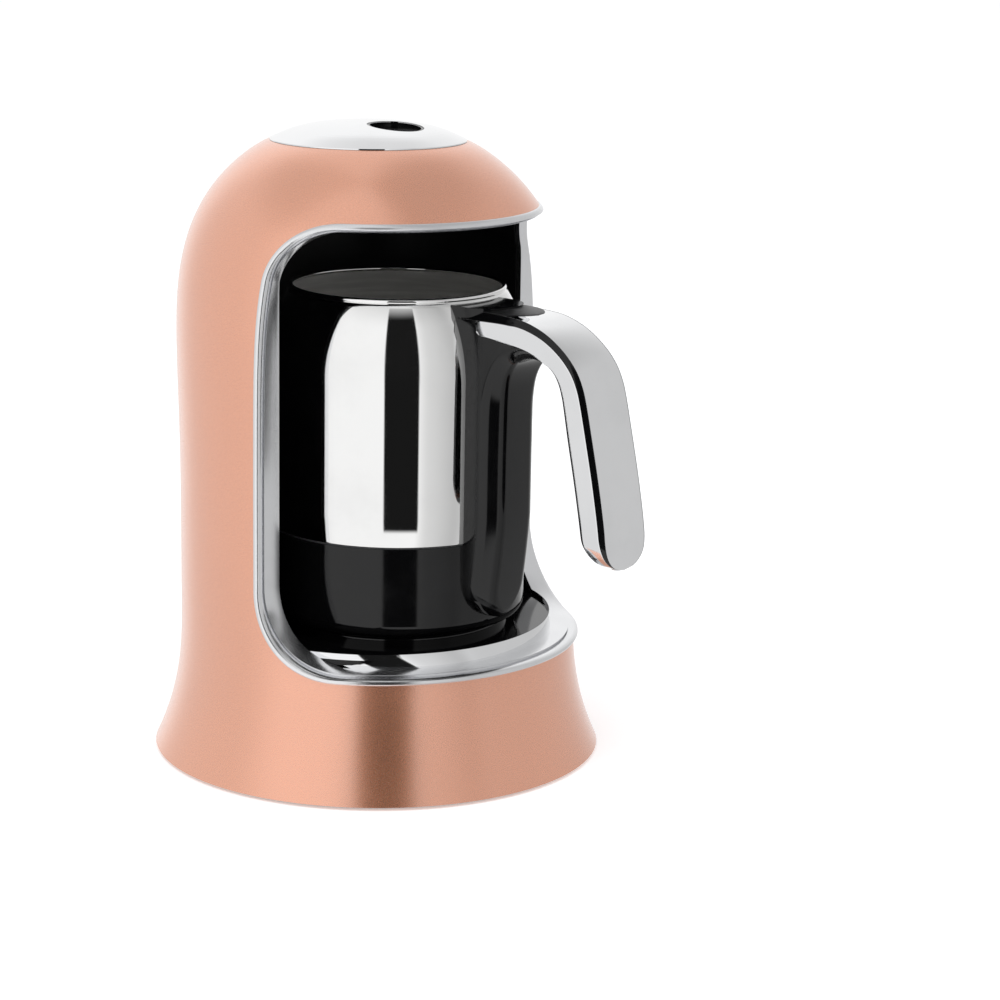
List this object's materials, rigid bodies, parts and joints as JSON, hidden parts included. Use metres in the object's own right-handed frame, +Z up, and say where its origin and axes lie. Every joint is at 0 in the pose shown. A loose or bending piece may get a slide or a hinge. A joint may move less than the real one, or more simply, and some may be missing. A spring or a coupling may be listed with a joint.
{
  "type": "electric turkish coffee maker",
  "caption": "Electric turkish coffee maker: domed copper stand with a chrome-framed open bay, a press button in its cap and a lift-out steel pot with a side handle.",
  "frame": {"origin": "on the counter, at the axis of the stand's round body", "axes": "+Z up; -Y is the front, where the bay opens and the pot's handle points; +X is the object's own left side as seen from its front"},
  "size_m": [0.16, 0.1946, 0.2234],
  "materials": {
    "copper": "satin metallic rose gold",
    "chrome": "polished",
    "black_gloss": "gloss",
    "black_satin": "satin",
    "button_dark": "satin",
    "steel": "polished outside, brushed inside",
    "aluminium": "as cast",
    "brass": "plain",
    "rubber": "matte",
    "silicone": "matte",
    "zinc": "zinc plated",
    "board": "solder mask",
    "insulator": "plain",
    "component": "plain",
    "terminal": "plain",
    "led": "clear",
    "wire": "sleeved",
    "dark_plastic": "moulded"
  },
  "bodies": {
    "stand": {"outer_shell": "copper", "chrome_frame": "chrome", "cavity_liner": "black_satin", "boil_sensor": "zinc", "jug_platform": "black_gloss", "base_plate": "dark_plastic", "rubber_feet": "rubber", "base_screws": "zinc", "cord_gland": "rubber", "base_connector": "dark_plastic", "connector_studs": "brass", "connector_screws": "zinc", "power_board": "board", "power_board_screws": "zinc", "relay": "component", "filter_capacitor": "component", "terminal_block": "terminal", "top_cap": "chrome", "button_bezel": "black_gloss", "board_carrier": "dark_plastic", "cap_screws": "zinc", "control_board": "board", "board_screws": "zinc", "button_spring": "zinc", "tact_switch": "dark_plastic", "indicator_led": "led", "buzzer": "dark_plastic", "wiring_harness": "wire"},
    "button": {"start_button": "button_dark"},
    "jug": {"jug_vessel": "steel", "jug_seal": "silicone", "jug_base": "black_gloss", "handle_shell": "chrome", "handle_core": "black_gloss", "handle_boss": "zinc", "handle_bolt": "zinc", "shell_screw": "zinc", "heating_plate": "aluminium", "heating_element": "zinc", "thermostat": "insulator", "thermal_fuse": "insulator", "jug_base_cover": "dark_plastic", "jug_base_screws": "zinc", "jug_socket": "insulator", "socket_contacts": "brass"}
  },
  "joints": [
    {"name": "button_press", "type": "slide", "parent": "stand", "child": "button", "axis": [0, 0, -1], "range_m": [0, 0.0012], "stiffness_N_per_m": 800, "springref_m": -0.001, "deforming": ["button_spring"]},
    {"name": "jug_slide", "type": "slide", "parent": "stand", "child": "jug", "axis": [0, -0.9781, 0.2079], "range_m": [0, 0.13]}
  ]
}
